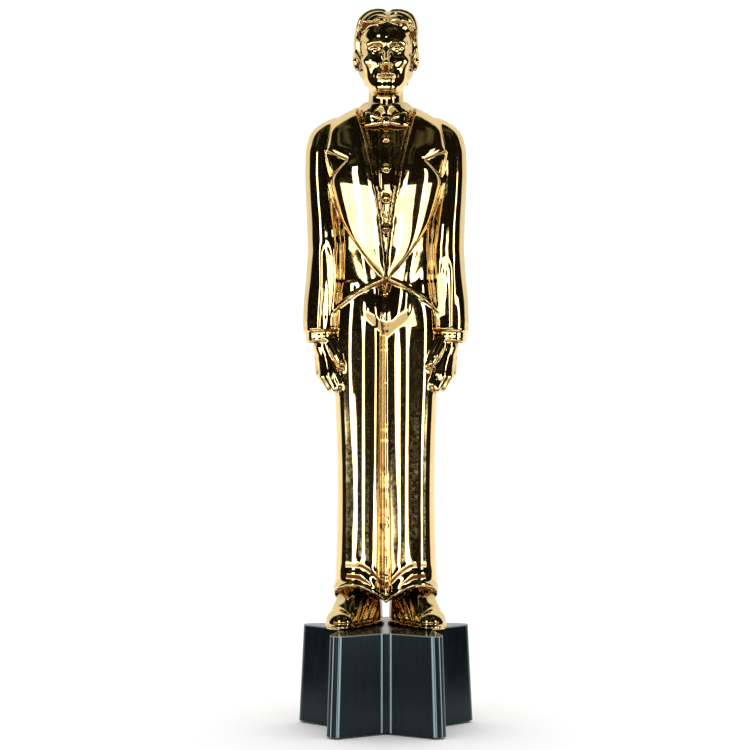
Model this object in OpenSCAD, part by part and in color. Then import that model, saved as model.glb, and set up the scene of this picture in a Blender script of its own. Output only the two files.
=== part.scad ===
// Figure trophy: a two-half hollow figure in evening dress, screwed down on a hollow
// five-pointed star base with a weighted, screwed-on cover and rubber foot pads.
// Units are millimetres, +Z is up, the figure faces -Y, and the origin is the centre of
// the footprint on the surface that the trophy stands on.

/* [Figure] */
// Height of the whole trophy, from the surface it stands on to the crown
total_h = 228.6; // [224:0.1:234]
// Width of the figure over its sleeves at the shoulders
shoulder_w = 52; // [50:0.5:54]
// Height of the head, from chin to crown
head_h = 28; // [27:0.5:29]
// Width of the pair of trousers at the knees
trouser_w = 29.8; // [29:0.1:31]
// Wall thickness of the moulded figure halves
figure_wall = 1.8; // [1.4:0.1:2]

/* [Base] */
// Height of the black base, without the foot pads
base_h = 30.8; // [29:0.1:32]
// Distance from the star's centre to the centre of each rounded tip, at the bottom
tip_centre_r = 26.2; // [25.5:0.1:27]
// Radius of the rounded star tips, and of the fillets between them
tip_r = 3; // [2.6:0.1:3.2]
// Distance from the star's centre to the sharp corner between two arms, at the bottom
notch_r = 15.5; // [15.2:0.1:16]
// Size of the top of the base as a share of its bottom: the mould's draft
draft = 0.945; // [0.93:0.005:0.96]
// Wall thickness of the base shell
base_wall = 2; // [1.8:0.1:2.2]
// Thickness of the deck that the figure stands on
deck_t = 2.4; // [2:0.1:3]
// Thickness of the cover that closes the base
cover_t = 2; // [1.8:0.1:2.4]
// Thickness of the weight inside the base
ballast_t = 12; // [8:0.5:14]

/* [Fixings] */
// Distance of each figure screw from the middle plane
figure_screw_x = 10.2; // [9.8:0.1:10.6]
// Length of the figure screws, under the head
figure_screw_l = 7; // [6.5:0.5:7]
// Length of the cover screws, over the countersunk head
cover_screw_l = 9.5; // [8:0.5:12]
// How far the foot pads stand out under the base
pad_stand = 0.6; // [0.5:0.1:0.8]

/* [Hidden] */

arms = 5;
arm_step = 360 / arms;
round_fn = 48;
body_fn = 24;
steps = 2;
small_fn = 12;
cut = 0.5;

gold = [0.83, 0.62, 0.22];
black = [0.04, 0.045, 0.05];
steel = [0.7, 0.7, 0.72];
brass = [0.78, 0.62, 0.3];
iron = [0.3, 0.3, 0.31];
rubber = [0.08, 0.08, 0.08];

// The star's centre lies so that the footprint's middle is at the origin.
star_y = -tip_centre_r * (1 - cos(arm_step / 2)) / 2;
base_z = pad_stand;
deck_z = base_z + base_h;
inner_deck_z = deck_z - deck_t;

// Half angle of a star tip, from the sharp outline
half_tip = tip_half_angle(tip_centre_r + 2.5 * tip_r);
star_r = tip_centre_r + tip_r / sin(half_tip);
function tip_half_angle(r) = atan(notch_r * sin(arm_step / 2) / (r - notch_r * cos(arm_step / 2)));

// Screw bosses and foot pads sit on the centre lines of the star's arms.
boss_at_r = 15.5;
boss_r = 3;
cover_pilot_r = 1.1;
pilot_depth = 12;
rib_t = 1.5;
rib_foot_z = 8;
pad_at_r = 21.9;
pad_r = 2.6;
pad_t = 1.4;
pad_fit = 0.1;
cover_gap = 0.15;

// Countersunk cover screws
cover_screw_r = 1.1;
cover_hole_r = 1.5;
cover_head_r = 2.7;
cover_head_t = 1.6;
slot_t = 0.6;
slot_depth = 0.9;

// The weight, and the ring on the cover that centres it
ballast_r = 10.4;
ballast_edge = 0.8;
ring_gap = 0.15;
ring_t = 1.3;
ring_h = 3;

// Figure screws, washers and inserts
figure_screw_y = -3;
machine_screw_r = 1.48;
insert_bore_r = 1.5;
insert_r = 2.1;
insert_l = 5;
insert_fit = 0.05;
deck_hole_r = 1.7;
washer_r = 3.4;
washer_bore_r = 1.6;
washer_t = 0.5;
pan_head_r = 2.8;
pan_head_t = 2.2;
recess_r = 1.5;
recess_depth = 1.3;
blade_t = 0.7;

// Pins that line the two figure halves up
pin_r = 1.2;
pin_fit = 0.1;
pin_boss_r = 2.4;
pin_reach = 3;

// Heights of the figure, from the deck that it stands on
figure_h = total_h - deck_z;
hem_z = deck_z + 9.5;
knee_z = deck_z + 44;
hip_z = deck_z + 97;
waist_z = deck_z + 122;
chest_z = deck_z + 146;
shoulder_z = deck_z + 158;
neck_z = deck_z + 166;
chin_z = total_h - head_h;
cuff_z = deck_z + 91.5;
sleeve_z = cuff_z + 3;
arm_x = shoulder_w / 2 - 6;
leg_x = trouser_w / 4;

pins = [for (side = [-1, 1]) for (z = [30, 75]) [side * leg_x, deck_z + z],
        [0, deck_z + 118], [0, deck_z + 142]];

// Each station is [x, y, z, half width, half depth] of an oval section.
torso = [
    [0, 0.3, hip_z - 4, trouser_w / 2 + 0.6, 8],
    [0, 0.3, hip_z + 6, trouser_w / 2 + 0.4, 8.2],
    [0, 0, waist_z, trouser_w / 2 - 1.2, 8.2],
    [0, -0.1, chest_z - 8, 15.6, 9.3],
    [0, 0, chest_z + 2, 18.6, 9.7],
    [0, 0.2, shoulder_z - 2, 19.8, 8.6],
    [0, 0.4, shoulder_z + 3, 17.6, 7],
    [0, 0.6, shoulder_z + 6, 13, 6],
    [0, 0.6, neck_z, 8.2, 5.9],
    [0, 0.4, neck_z + 3, 6, 5.8],
    [0, 0.3, chin_z + 6, 5.8, 6]
];
leg = [
    [leg_x + 0.5, 0.6, hem_z, leg_x + 0.9, 7.6],
    [leg_x - 0.1, 0.6, hem_z + 9, leg_x + 0.4, 6.9],
    [leg_x - 0.2, 0.6, knee_z, leg_x + 0.2, 6.9],
    [leg_x - 0.1, 0.6, knee_z + 28, leg_x + 0.5, 7.5],
    [leg_x, 0.4, hip_z, leg_x + 0.6, 8]
];
arm = [
    [arm_x + 1.5, 0, sleeve_z, 4.9, 5.2],
    [arm_x - 0.2, 0.3, sleeve_z + 16, 5.8, 5.6],
    [arm_x - 1.1, 0.6, waist_z - 2, 5.9, 5.8],
    [arm_x - 0.5, 0.5, waist_z + 8, 5.5, 5.8],
    [arm_x + 0.9, 0.3, chest_z + 2, 5, 6],
    [arm_x + 0.4, 0.3, shoulder_z - 4, 4.9, 5.8],
    [arm_x - 1, 0.4, shoulder_z, 4.9, 5.4],
    [arm_x - 2.2, 0.4, shoulder_z + 2.4, 3.8, 4.4]
];
cuff = [
    [arm_x + 1, -0.3, cuff_z, 4.3, 4.4],
    [arm_x + 1, -0.3, sleeve_z + 1, 4.3, 4.4]
];
// The hollows of arm and leg stop short of their ends.
arm_hollow = [for (i = [0:6]) i == 0 ? arm[0] + [-0.2, 0, 2, 0, 0] : arm[i]];
leg_hollow = [for (i = [0:4]) i == 0 ? leg[0] + [-0.4, 0, 5, -0.3, -0.4] : leg[i]];

// Outlines on the chest, as [distance from the middle, height over the deck]
lapel = [[17, 159.6], [18.4, 150.6], [11.8, 147.6], [18.6, 141.3], [16.3, 135.4], [12.6, 127.6],
         [7.3, 120.6], [3.2, 115.2], [-0.2, 110.2], [0.4, 119.6], [3.2, 129], [5.7, 139.6],
         [6.6, 148.6], [7.6, 156], [8.8, 163.5], [13, 163.6]];
hem_edge = [[-0.1, 106.6], [10.6, 102.6], [15.1, 98.9], [19, 95], [19, 98.4], [15.6, 102.2],
            [10.6, 105.8], [-0.1, 110]];
waistcoat = [[-0.1, 112.5], [1.6, 118], [4.4, 128.8], [6.9, 139.4], [7.8, 148.6], [8.8, 156], [9.8, 163],
             [7.6, 163], [6.4, 155], [5.2, 148], [4.2, 139.5], [1.4, 128.5], [-0.1, 122]];
stud_y = [-9, -9.5, -9.3, -8.6];
placket = [[-1, 119], [1, 119], [1.6, 163], [-1.6, 163]];
tail = [[0.4, 34], [4, 33], [7.2, 40], [11.4, 70], [14.4, 100], [14.2, 104], [0.4, 104]];

// ---- general shapes ----

module mirrored() {
    children();
    mirror([1, 0, 0]) children();
}

// Stations between the given ones, on a smooth curve through them
function blend(p, q, r, s, t) =
    q + t * (r - p) / 2 + t * t * (2 * p - 5 * q + 4 * r - s) / 2 + t * t * t * (3 * q - p - 3 * r + s) / 2;
function smooth(list) = let (last = len(list) - 1)
    [for (i = [0:last - 1]) for (k = [0:steps - 1])
        blend(list[max(i - 1, 0)], list[i], list[i + 1], list[min(i + 2, last)], k / steps), list[last]];
function ring(s, inset) =
    [for (j = [0:body_fn - 1]) let (a = (j + 0.5) * 360 / body_fn)
        [s[0] + (s[3] - inset) * cos(a), s[1] + (s[4] - inset) * sin(a), s[2]]];

// One closed solid through oval stations, from the lowest up
module chain(stations, inset = 0) {
    rings = smooth(stations);
    n = body_fn;
    top = (len(rings) - 1) * n;
    sides = [for (i = [0:len(rings) - 2]) for (j = [0:n - 1])
        let (a = i * n + j, b = i * n + (j + 1) % n) each [[a, a + n, b], [b, a + n, b + n]]];
    ends = [[for (j = [0:n - 1]) j], [for (j = [n - 1:-1:0]) top + j]];
    polyhedron([for (s = rings) each ring(s, inset)], concat(sides, ends));
}

module ball(at, size, fn = body_fn) {
    translate(at) scale(size) sphere(1, $fn = fn);
}

// A layer of cloth over the front (side -1) or the back (side 1), raised off the masses below
module cloth(outline, raised, side = -1) {
    intersection() {
        masses(-raised);
        translate([0, side < 0 ? -1 : 31, deck_z]) rotate([90, 0, 0])
            linear_extrude(30) polygon(outline);
    }
}

// ---- the figure ----

module head() {
    crown_z = total_h - 11.3;
    hull() {
        ball([0, 0.8, crown_z], [9.6, 10.6, 11.3]);
        ball([0, -3, chin_z + 4.6], [5.4, 5.8, 4.6], small_fn);
    }
    hull() {
        ball([0, -9, crown_z - 2], [0.8, 1, 1], small_fn);
        ball([0, -9.9, crown_z - 7], [1.5, 1.4, 1], small_fn);
    }
    mirrored() ball([9.5, 1.2, crown_z - 3.4], [1.3, 2, 3.2], small_fn);
    ball([0, 1.6, total_h - 9.6], [10.4, 10.8, 9.6]);
}

module hand() {
    hull() {
        ball([arm_x + 0.6, -0.4, cuff_z], [3.6, 3.2, 3], small_fn);
        ball([arm_x - 0.8, -0.8, cuff_z - 7], [4.3, 3.6, 4], small_fn);
    }
    hull() {
        ball([arm_x - 0.8, -0.8, cuff_z - 7], [4.3, 3.6, 4], small_fn);
        ball([arm_x - 3.6, -0.6, cuff_z - 12.6], [2.6, 2.8, 2.4], small_fn);
    }
    hull() {
        ball([arm_x - 1.4, -2, cuff_z], [1.5, 1.5, 1.5], small_fn);
        ball([arm_x - 5, -3, cuff_z - 6], [1.2, 1.4, 1.6], small_fn);
    }
}

module shoe() {
    hull() {
        translate([6.4, 6.6, deck_z]) cylinder(h = 3, r = 3.8, $fn = body_fn);
        translate([13.2, -7.4, deck_z]) cylinder(h = 2, r = 5, $fn = body_fn);
        ball([12.8, -6.8, deck_z + 2.8], [4.8, 5, 2.6], small_fn);
        ball([8.4, 1.4, deck_z + 8.4], [5.2, 5.4, 3.4], small_fn);
    }
}

module bow_tie() {
    tie_z = neck_z - 1;
    mirrored() hull() {
        ball([0.8, -5.8, tie_z], [0.8, 1.2, 0.9], small_fn);
        ball([5.4, -4.6, tie_z + 0.2], [1, 1.6, 2], small_fn);
    }
    ball([0, -6, tie_z], [1.2, 1.4, 1.4], small_fn);
}

// Shirt band, waistcoat edge, peaked lapels and the rolled front hem of the tailcoat
module evening_dress() {
    cloth(placket, 0.3);
    mirrored() {
        cloth(waistcoat, 0.6);
        cloth(lapel, 1.2);
        cloth(hem_edge, 1.2);
    }
}

module studs() {
    for (i = [0:3])
        ball([0, stud_y[i], chest_z + 8.7 - 9.2 * i], [1.2, 1.1, 1.2], small_fn);
}

// The two tails at the back, from the waist to the knees, with the vent between them
module coat_tails() {
    mirrored() cloth(tail, 1, 1);
}

// Every outer mass of the figure, or with an inset the hollow inside it
module masses(inset = 0) {
    chain(torso, inset);
    mirrored() {
        chain(inset > 0 ? leg_hollow : leg, inset);
        chain(inset > 0 ? arm_hollow : arm, inset);
    }
}

module body() {
    masses();
    head();
    mirrored() {
        chain(cuff);
        hand();
        shoe();
    }
    bow_tie();
    evening_dress();
    studs();
    coat_tails();
}

module hollow() {
    masses(figure_wall);
    hull() {
        ball([0, 0.8, total_h - 11.3], [9.6, 10.6, 11.3] - figure_wall * [1, 1, 1]);
        ball([0, -1.6, chin_z + 6], [3.6, 4.6, 4], small_fn);
    }
}

// side is -1 for the front half-space and 1 for the back one.
module half_space(side) {
    reach = 60;
    translate([-reach, side < 0 ? -reach : 0, deck_z - cut])
        cube([2 * reach, reach, figure_h + 2 * cut]);
}

module insert_holes() {
    mirrored() translate([figure_screw_x, figure_screw_y, deck_z - cut])
        cylinder(h = insert_l + cut, r = insert_r + insert_fit, $fn = round_fn);
}

// Round bars that stand out from the parting plane, one at each pin
module pin_bars(side, r, reach) {
    for (at = pins)
        translate([at[0], -side * cut, at[1]]) rotate([side * -90, 0, 0])
            cylinder(h = reach + cut, r = r, $fn = small_fn);
}

module figure_half(side) {
    difference() {
        intersection() {
            union() {
                difference() {
                    body();
                    hollow();
                }
                intersection() {
                    pin_bars(side, pin_boss_r, 20);
                    body();
                }
            }
            half_space(side);
        }
        insert_holes();
        if (side < 0) pin_bars(side, pin_r + pin_fit, pin_reach + pin_fit);
    }
    if (side > 0) pin_bars(-side, pin_r, pin_reach);
}

module figure_front() {
    color(gold) figure_half(-1);
}

module figure_back() {
    color(gold) figure_half(1);
}

module foot_insert(side) {
    color(brass) translate([side * figure_screw_x, figure_screw_y, deck_z])
        difference() {
            cylinder(h = insert_l, r = insert_r, $fn = round_fn);
            translate([0, 0, -cut])
                cylinder(h = insert_l + 2 * cut, r = insert_bore_r, $fn = round_fn);
        }
}

module figure_screw(side) {
    head_z = inner_deck_z - washer_t - pan_head_t;
    color(steel) translate([side * figure_screw_x, figure_screw_y, head_z])
        difference() {
            union() {
                cylinder(h = pan_head_t, r = pan_head_r, $fn = round_fn);
                cylinder(h = pan_head_t + figure_screw_l, r = machine_screw_r, $fn = round_fn);
            }
            for (turn = [0, 90]) rotate(turn)
                translate([-recess_r, -blade_t / 2, -cut])
                    cube([2 * recess_r, blade_t, recess_depth + cut]);
        }
}

module figure_washer(side) {
    color(steel) translate([side * figure_screw_x, figure_screw_y, inner_deck_z - washer_t])
        difference() {
            cylinder(h = washer_t, r = washer_r, $fn = round_fn);
            translate([0, 0, -cut])
                cylinder(h = washer_t + 2 * cut, r = washer_bore_r, $fn = round_fn);
        }
}

// ---- the base ----

// Rounded star outline at the bottom of the base, drawn in by inset
module star(inset = 0) {
    offset(r = -inset)
        offset(r = tip_r, $fn = 2 * round_fn) offset(delta = -tip_r)
            offset(r = -tip_r, $fn = 2 * round_fn) offset(delta = tip_r)
                polygon([for (i = [0:2 * arms - 1])
                    let (r = i % 2 == 0 ? star_r : notch_r, a = 90 + i * arm_step / 2)
                        [r * cos(a), r * sin(a)]]);
}

// A point on the centre line of arm i: arm 1 points back, and the others follow clockwise
// seen from above
module on_arm(i, r, z) {
    translate([0, star_y, z]) rotate(90 - (i - 1) * arm_step) translate([r, 0, 0]) children();
}

module base_shell() {
    inner_top = 1 - (1 - draft) * (base_h - deck_t) / base_h;
    color(black) difference() {
        union() {
            difference() {
                translate([0, star_y, base_z])
                    linear_extrude(base_h, scale = draft) star();
                translate([0, star_y, base_z - 0.01])
                    linear_extrude(base_h - deck_t + 0.01, scale = inner_top) star(base_wall);
            }
            for (i = [1:arms]) {
                on_arm(i, boss_at_r, base_z + cover_t)
                    cylinder(h = base_h - cover_t - deck_t / 2, r = boss_r, $fn = round_fn);
                on_arm(i, boss_at_r + boss_r / 2, rib_foot_z)
                    translate([0, -rib_t / 2, 0])
                        cube([tip_centre_r * draft - boss_at_r, rib_t, inner_deck_z - rib_foot_z + cut]);
            }
        }
        for (i = [1:arms])
            on_arm(i, boss_at_r, base_z)
                cylinder(h = cover_t + pilot_depth, r = cover_pilot_r, $fn = round_fn);
        mirrored() translate([figure_screw_x, figure_screw_y, inner_deck_z - cut])
            cylinder(h = deck_t + 2 * cut, r = deck_hole_r, $fn = round_fn);
    }
}

module base_cover() {
    color(black) difference() {
        union() {
            translate([0, star_y, base_z])
                linear_extrude(cover_t) star(base_wall + cover_gap);
            translate([0, star_y, base_z + cover_t]) difference() {
                cylinder(h = ring_h, r = ballast_r + ring_gap + ring_t, $fn = round_fn);
                cylinder(h = ring_h + cut, r = ballast_r + ring_gap, $fn = round_fn);
            }
        }
        for (i = [1:arms]) {
            on_arm(i, boss_at_r, base_z - cut)
                cylinder(h = cover_t + 2 * cut, r = cover_hole_r, $fn = round_fn);
            on_arm(i, boss_at_r, base_z - 0.01)
                cylinder(h = cover_head_t, r1 = cover_head_r + 0.01, r2 = cover_hole_r, $fn = round_fn);
            on_arm(i, pad_at_r, base_z - cut)
                cylinder(h = pad_t - pad_stand + cut, r = pad_r + pad_fit, $fn = round_fn);
        }
    }
}

module ballast() {
    color(iron) translate([0, star_y, base_z + cover_t])
        rotate_extrude($fn = 2 * round_fn)
            polygon([[0, 0], [ballast_r, 0], [ballast_r, ballast_t - ballast_edge],
                     [ballast_r - ballast_edge, ballast_t], [0, ballast_t]]);
}

module cover_screw(i) {
    head_t = cover_head_t - 0.1;
    color(steel) on_arm(i, boss_at_r, base_z) difference() {
        rotate_extrude($fn = round_fn)
            polygon([[0, 0.05], [cover_head_r - 0.15, 0.05], [cover_screw_r, head_t],
                     [cover_screw_r, cover_screw_l - 2], [0, cover_screw_l]]);
        for (turn = [0, 90]) rotate(turn)
            translate([-recess_r, -slot_t / 2, -cut])
                cube([2 * recess_r, slot_t, slot_depth + cut]);
    }
}

module foot_pad(i) {
    color(rubber) on_arm(i, pad_at_r, 0) cylinder(h = pad_t, r = pad_r, $fn = round_fn);
}

figure_front();
figure_back();
foot_insert(1);  // foot_insert_left
foot_insert(-1);  // foot_insert_right
figure_screw(1);  // figure_screw_left
figure_screw(-1);  // figure_screw_right
figure_washer(1);  // figure_washer_left
figure_washer(-1);  // figure_washer_right
base_shell();
base_cover();
ballast();
for (i = [1:arms])
    cover_screw(i);
for (i = [1:arms])
    foot_pad(i);
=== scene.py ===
import math
import bpy
import numpy as np
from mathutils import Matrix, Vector


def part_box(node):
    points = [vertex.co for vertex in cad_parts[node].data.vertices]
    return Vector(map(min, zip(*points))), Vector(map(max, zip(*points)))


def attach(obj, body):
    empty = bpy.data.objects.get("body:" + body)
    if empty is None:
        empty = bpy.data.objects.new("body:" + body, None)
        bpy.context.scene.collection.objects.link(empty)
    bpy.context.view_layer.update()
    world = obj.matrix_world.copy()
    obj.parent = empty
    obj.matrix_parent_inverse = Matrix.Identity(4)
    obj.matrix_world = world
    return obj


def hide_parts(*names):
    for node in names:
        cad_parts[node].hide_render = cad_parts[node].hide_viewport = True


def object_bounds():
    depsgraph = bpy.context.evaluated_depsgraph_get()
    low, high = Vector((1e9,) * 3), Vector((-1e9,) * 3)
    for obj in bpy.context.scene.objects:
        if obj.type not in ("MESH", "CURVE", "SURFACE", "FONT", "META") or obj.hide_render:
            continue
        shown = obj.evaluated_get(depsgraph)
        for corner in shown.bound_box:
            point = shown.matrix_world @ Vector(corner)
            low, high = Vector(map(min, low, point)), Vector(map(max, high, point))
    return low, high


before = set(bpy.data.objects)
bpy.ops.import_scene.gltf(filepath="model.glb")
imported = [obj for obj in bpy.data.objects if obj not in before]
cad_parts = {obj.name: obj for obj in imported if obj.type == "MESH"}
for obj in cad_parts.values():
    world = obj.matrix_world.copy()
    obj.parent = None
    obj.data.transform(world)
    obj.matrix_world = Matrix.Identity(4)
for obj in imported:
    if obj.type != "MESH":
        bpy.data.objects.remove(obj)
cad_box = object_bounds()

# Sculpting works in millimetres: x across, y front (-) to back (+), z over the deck of the base.
MM = 0.001
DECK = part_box("base_shell")[1][2] / MM
TOP = cad_box[1][2] / MM - DECK
HEAD_H = 28
CHIN = TOP - HEAD_H
coarse = 1.0


# ---------------------------------------------------------------- distance fields

def smin(a, b, k):
    h = np.maximum(k - np.abs(a - b), 0) / k
    return np.minimum(a, b) - h * h * k / 4


def smax(a, b, k):
    return -smin(-a, -b, k)


def ramp(v, a, b):
    t = np.clip((v - a) / (b - a), 0, 1)
    return t * t * (3 - 2 * t)


def bump(v, centre, width):
    return np.exp(-((v - centre) / width) ** 2)


def profile(rows, soft=1.2):
    """Smooth functions of height through rows of [z, values...]."""
    rows = np.array(sorted(rows), float)
    z = np.arange(rows[0, 0] - 8, rows[-1, 0] + 8, 0.25)
    half = int(4 * soft / 0.25)
    kernel = np.exp(-0.5 * (np.arange(-half, half + 1) * 0.25 / soft) ** 2)
    kernel /= kernel.sum()
    table = []
    for c in range(1, rows.shape[1]):
        v = np.interp(z, rows[:, 0], rows[:, c])
        padded = np.concatenate([np.full(half, v[0]), v, np.full(half, v[-1])])
        table.append(np.convolve(padded, kernel, "valid"))
    return lambda at: [np.interp(at, z, t) for t in table]


def oval(x, y, ax, ay, n=2.0):
    """Distance to a superellipse outline."""
    u = np.abs(x) / ax + 1e-6
    v = np.abs(y) / ay + 1e-6
    s = u ** n + v ** n
    k = s ** (1 / n)
    g = s ** (1 / n - 1) * np.sqrt((u ** (n - 1) / ax) ** 2 + (v ** (n - 1) / ay) ** 2)
    return (k - 1) / np.maximum(g, 1e-6)


def loft(x, y, z, prof, n=2.3):
    cx, cy, ax, front, back = prof(z)
    dy = y - cy
    return oval(x - cx, dy, ax, np.where(dy < 0, front, back), n)


def egg(x, y, z, c, r, n=2.0):
    u, v, w = (np.abs(a - b) / s + 1e-6 for a, b, s in zip((x, y, z), c, r))
    s = u ** n + v ** n + w ** n
    g = s ** (1 / n - 1) * np.sqrt((u ** (n - 1) / r[0]) ** 2 + (v ** (n - 1) / r[1]) ** 2
                                   + (w ** (n - 1) / r[2]) ** 2)
    return (s ** (1 / n) - 1) / np.maximum(g, 1e-6)


def rod(x, y, z, a, b, ra, rb):
    ab = [q - p for p, q in zip(a, b)]
    length2 = sum(c * c for c in ab)
    t = np.clip(((x - a[0]) * ab[0] + (y - a[1]) * ab[1] + (z - a[2]) * ab[2]) / length2, 0, 1)
    dx, dy, dz = x - a[0] - t * ab[0], y - a[1] - t * ab[1], z - a[2] - t * ab[2]
    return np.sqrt(dx * dx + dy * dy + dz * dz) - ra - t * (rb - ra)


def outline(px, pz, points):
    """Signed distance to a closed polygon, negative inside."""
    d = np.full(px.shape, 1e9)
    inside = np.zeros(px.shape, bool)
    n = len(points)
    for i in range(n):
        (ax, az), (bx, bz) = points[i], points[(i + 1) % n]
        ex, ez = bx - ax, bz - az
        t = np.clip(((px - ax) * ex + (pz - az) * ez) / (ex * ex + ez * ez), 0, 1)
        d = np.minimum(d, (px - ax - t * ex) ** 2 + (pz - az - t * ez) ** 2)
        if az != bz:
            inside ^= ((az > pz) != (bz > pz)) & (px < ex * (pz - az) / ez + ax)
    return np.where(inside, -1, 1) * np.sqrt(d)


def line(px, pz, points):
    """Distance to an open chain of points."""
    d = np.full(px.shape, 1e9)
    for (ax, az), (bx, bz) in zip(points, points[1:]):
        ex, ez = bx - ax, bz - az
        t = np.clip(((px - ax) * ex + (pz - az) * ez) / (ex * ex + ez * ez), 0, 1)
        d = np.minimum(d, (px - ax - t * ex) ** 2 + (pz - az - t * ez) ** 2)
    return np.sqrt(d)


class Field:
    """Gathers shapes into one distance, each worked out only near itself."""

    def __init__(self, x, y, z):
        self.x, self.y, self.z = x, y, z
        self.d = np.full(x.shape, 9.0)

    def pick(self, low, high):
        x, y, z = self.x, self.y, self.z
        m = (x > low[0] - 4) & (x < high[0] + 4) & (y > low[1] - 4) & (y < high[1] + 4)
        m &= (z > low[2] - 4) & (z < high[2] + 4)
        i = np.flatnonzero(m)
        return i, x[i], y[i], z[i]

    def add(self, i, d, k=0.4):
        self.d[i] = smin(self.d[i], d, k)

    def cut(self, i, d, k=0.4):
        self.d[i] = smax(self.d[i], -d, k)

    def add_rod(self, a, b, ra, rb, k=0.4):
        r = max(ra, rb)
        i, x, y, z = self.pick([min(p, q) - r for p, q in zip(a, b)], [max(p, q) + r for p, q in zip(a, b)])
        self.add(i, rod(x, y, z, a, b, ra, rb), k)

    def add_egg(self, c, r, k=0.4, n=2.0):
        i, x, y, z = self.pick([p - q for p, q in zip(c, r)], [p + q for p, q in zip(c, r)])
        self.add(i, egg(x, y, z, c, r, n), k)

    def cut_egg(self, c, r, k=0.4):
        i, x, y, z = self.pick([p - q for p, q in zip(c, r)], [p + q for p, q in zip(c, r)])
        self.cut(i, egg(x, y, z, c, r), k)


def mirror(point, side):
    return (point[0] * side, point[1], point[2])


# ---------------------------------------------------------------- mesh of a field

def net(field, xs, ys, zs):
    """Surface net of field's zero level on a grid, with its vertices moved onto the surface."""
    shape = (len(xs), len(ys), len(zs))
    c = 4
    full_c = [np.append(a[::c], a[-1]) if (len(a) - 1) % c else a[::c] for a in (xs, ys, zs)]
    gx, gy, gz = np.meshgrid(*full_c, indexing="ij")
    rough = field(gx.ravel(), gy.ravel(), gz.ravel()).reshape(gx.shape)
    near = np.abs(rough)
    low = near[:-1, :-1, :-1].copy()
    for a in (0, 1):
        for b in (0, 1):
            for e in (0, 1):
                low = np.minimum(low, near[a:near.shape[0] - 1 + a, b:near.shape[1] - 1 + b,
                                           e:near.shape[2] - 1 + e])
    reach = 0.75 * math.sqrt(sum((c * np.diff(a).max()) ** 2 for a in (xs, ys)))
    dz = np.diff(full_c[2])
    reach = np.sqrt(reach ** 2 + (0.75 * dz) ** 2) + 0.8
    bi, bj, bk = np.nonzero(low < reach[None, None, :])
    mask = np.zeros(shape, bool)
    for di in range(c + 1):
        for dj in range(c + 1):
            for dk in range(c + 1):
                mask[np.minimum(bi * c + di, shape[0] - 1), np.minimum(bj * c + dj, shape[1] - 1),
                     np.minimum(bk * c + dk, shape[2] - 1)] = True
    ids = [np.minimum((np.arange(n) + c // 2) // c, m - 1) for n, m in zip(shape, rough.shape)]
    full = rough[np.ix_(*ids)].astype(np.float32)
    i, j, k = np.nonzero(mask)
    full[i, j, k] = field(xs[i], ys[j], zs[k])

    inside = full < 0
    total = np.zeros([n - 1 for n in shape], np.uint8)
    corners = [(a, b, e) for a in (0, 1) for b in (0, 1) for e in (0, 1)]
    for a, b, e in corners:
        total += inside[a:shape[0] - 1 + a, b:shape[1] - 1 + b, e:shape[2] - 1 + e]
    ci, cj, ck = np.nonzero((total > 0) & (total < 8))
    number = np.full(total.shape, -1, np.int32)
    number[ci, cj, ck] = np.arange(len(ci))
    point = np.zeros((len(ci), 3))
    count = np.zeros(len(ci))
    values = {q: full[ci + q[0], cj + q[1], ck + q[2]] for q in corners}
    places = {q: np.stack([xs[ci + q[0]], ys[cj + q[1]], zs[ck + q[2]]], 1) for q in corners}
    for p in corners:
        for axis in range(3):
            if p[axis] == 0:
                q = tuple(1 if m == axis else v for m, v in enumerate(p))
                va, vb = values[p], values[q]
                cross = (va < 0) != (vb < 0)
                t = np.where(cross, va / np.where(cross, va - vb, 1), 0)[:, None]
                point += np.where(cross[:, None], places[p] * (1 - t) + places[q] * t, 0)
                count += cross
    point /= count[:, None]

    quads = []
    for axis, (u, v) in enumerate(((1, 2), (2, 0), (0, 1))):
        a = [slice(1, -1)] * 3
        b = [slice(1, -1)] * 3
        a[axis], b[axis] = slice(0, -1), slice(1, None)
        first, second = inside[tuple(a)], inside[tuple(b)]
        e = np.nonzero(first != second)
        flip = second[e]
        cell = [w + (0 if m == axis else 1) for m, w in enumerate(e)]
        ring = []
        for du, dv in ((-1, -1), (0, -1), (0, 0), (-1, 0)):
            at = list(cell)
            at[u] = at[u] + du
            at[v] = at[v] + dv
            ring.append(number[at[0], at[1], at[2]])
        q = np.stack(ring, 1)
        q[flip] = q[flip][:, ::-1]
        quads.append(q)
    quads = np.concatenate(quads)

    middle = np.abs(ys[cj] + ys[cj + 1]) < 1e-6
    point[middle, 1] = 0
    eps = 0.06
    for turn in range(3):
        x, y, z = point.T
        d = field(x, y, z)
        g = np.stack([field(x + eps, y, z) - d, field(x, y + eps, z) - d, field(x, y, z + eps) - d], 1) / eps
        g[middle, 1] = 0
        move = -d[:, None] * g / np.maximum((g * g).sum(1), 0.3)[:, None]
        size = np.linalg.norm(move, axis=1)
        limit = 0.3 / (turn + 1)
        point += move * np.minimum(1, limit / np.maximum(size, 1e-9))[:, None]
    return point, quads


# ---------------------------------------------------------------- relief of the clothes

RX = np.arange(-28, 28.01, 0.1)
RZ = np.arange(0, 172.01, 0.1)
GX, GZ = np.meshgrid(RX, RZ, indexing="ij")

# The coat's front in millimetres: heights over the deck, and distances from the middle
CLOSE = (0, 110)
LAPEL_W = 18
GORGE_H, NOTCH_H, PEAK_H, COLLAR_H = 151, 148, 141, 160
OPENING_TOP = (9, 163)
HEM_SIDE = (20, 96)
SHOE_HEM_LOW, SHOE_HEM_RISE, SHOE_HEM_X = 8, 5.5, 11
STUDS = [(0, 155 - 9.5 * i) for i in range(4)]


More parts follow.
